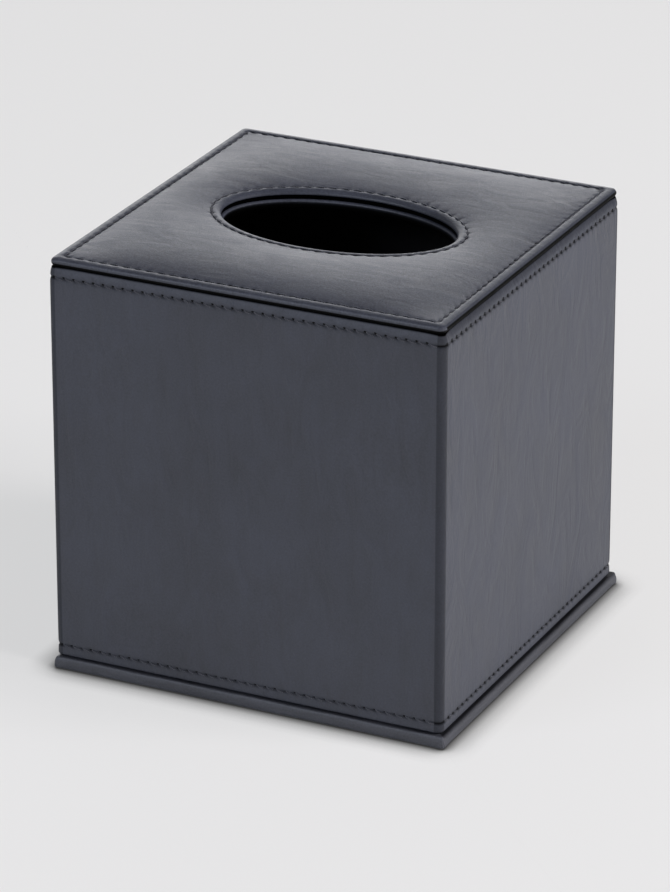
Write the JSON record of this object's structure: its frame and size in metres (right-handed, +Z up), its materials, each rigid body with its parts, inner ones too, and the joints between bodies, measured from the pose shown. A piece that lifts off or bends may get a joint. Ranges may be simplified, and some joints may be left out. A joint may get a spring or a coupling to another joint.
{
  "type": "tissue box",
  "caption": "Leather-covered cube box for a carton of tissues: padded top with an oval dispensing opening, hinged along its left foot to a thin base plate.",
  "frame": {"origin": "centre of the base plate's outline, on the surface the box stands on", "axes": "+Z up, +X to the right along the front face towards the finger lip, +Y to the back; the hinge is at -X"},
  "size_m": [0.1417, 0.1428, 0.1465],
  "materials": {
    "leather": "fine-grained, satin",
    "board": "raw fibreboard",
    "suede": "short nap, matt",
    "foam": "open-cell foam",
    "felt": "felt, matt",
    "thread": "twisted thread, satin",
    "magnet": "nickel-plated"
  },
  "bodies": {
    "base": {"base_board": "board", "base_leather": "leather", "hinge_leather": "leather", "base_felt": "felt", "floor_liner_board": "board", "floor_suede": "suede", "base_magnets": "magnet"},
    "cover": {"front_wall_board": "board", "back_wall_board": "board", "left_wall_board": "board", "right_wall_board": "board", "top_board": "board", "side_leather": "leather", "front_lining": "suede", "back_lining": "suede", "left_lining": "suede", "right_lining": "suede", "ceiling_lining": "suede", "opening_rim_leather": "leather", "panel_board": "board", "foam_pad": "foam", "panel_leather": "leather", "wall_top_stitching": "thread", "wall_foot_stitching": "thread", "panel_edge_stitching": "thread", "opening_stitching": "thread", "cover_magnets": "magnet"}
  },
  "joints": [
    {"name": "cover_hinge", "type": "hinge", "parent": "base", "child": "cover", "pos_m": [-0.0707, 0, 0.00445], "axis": [0, -1, 0], "range_deg": [0, 91.5]}
  ]
}
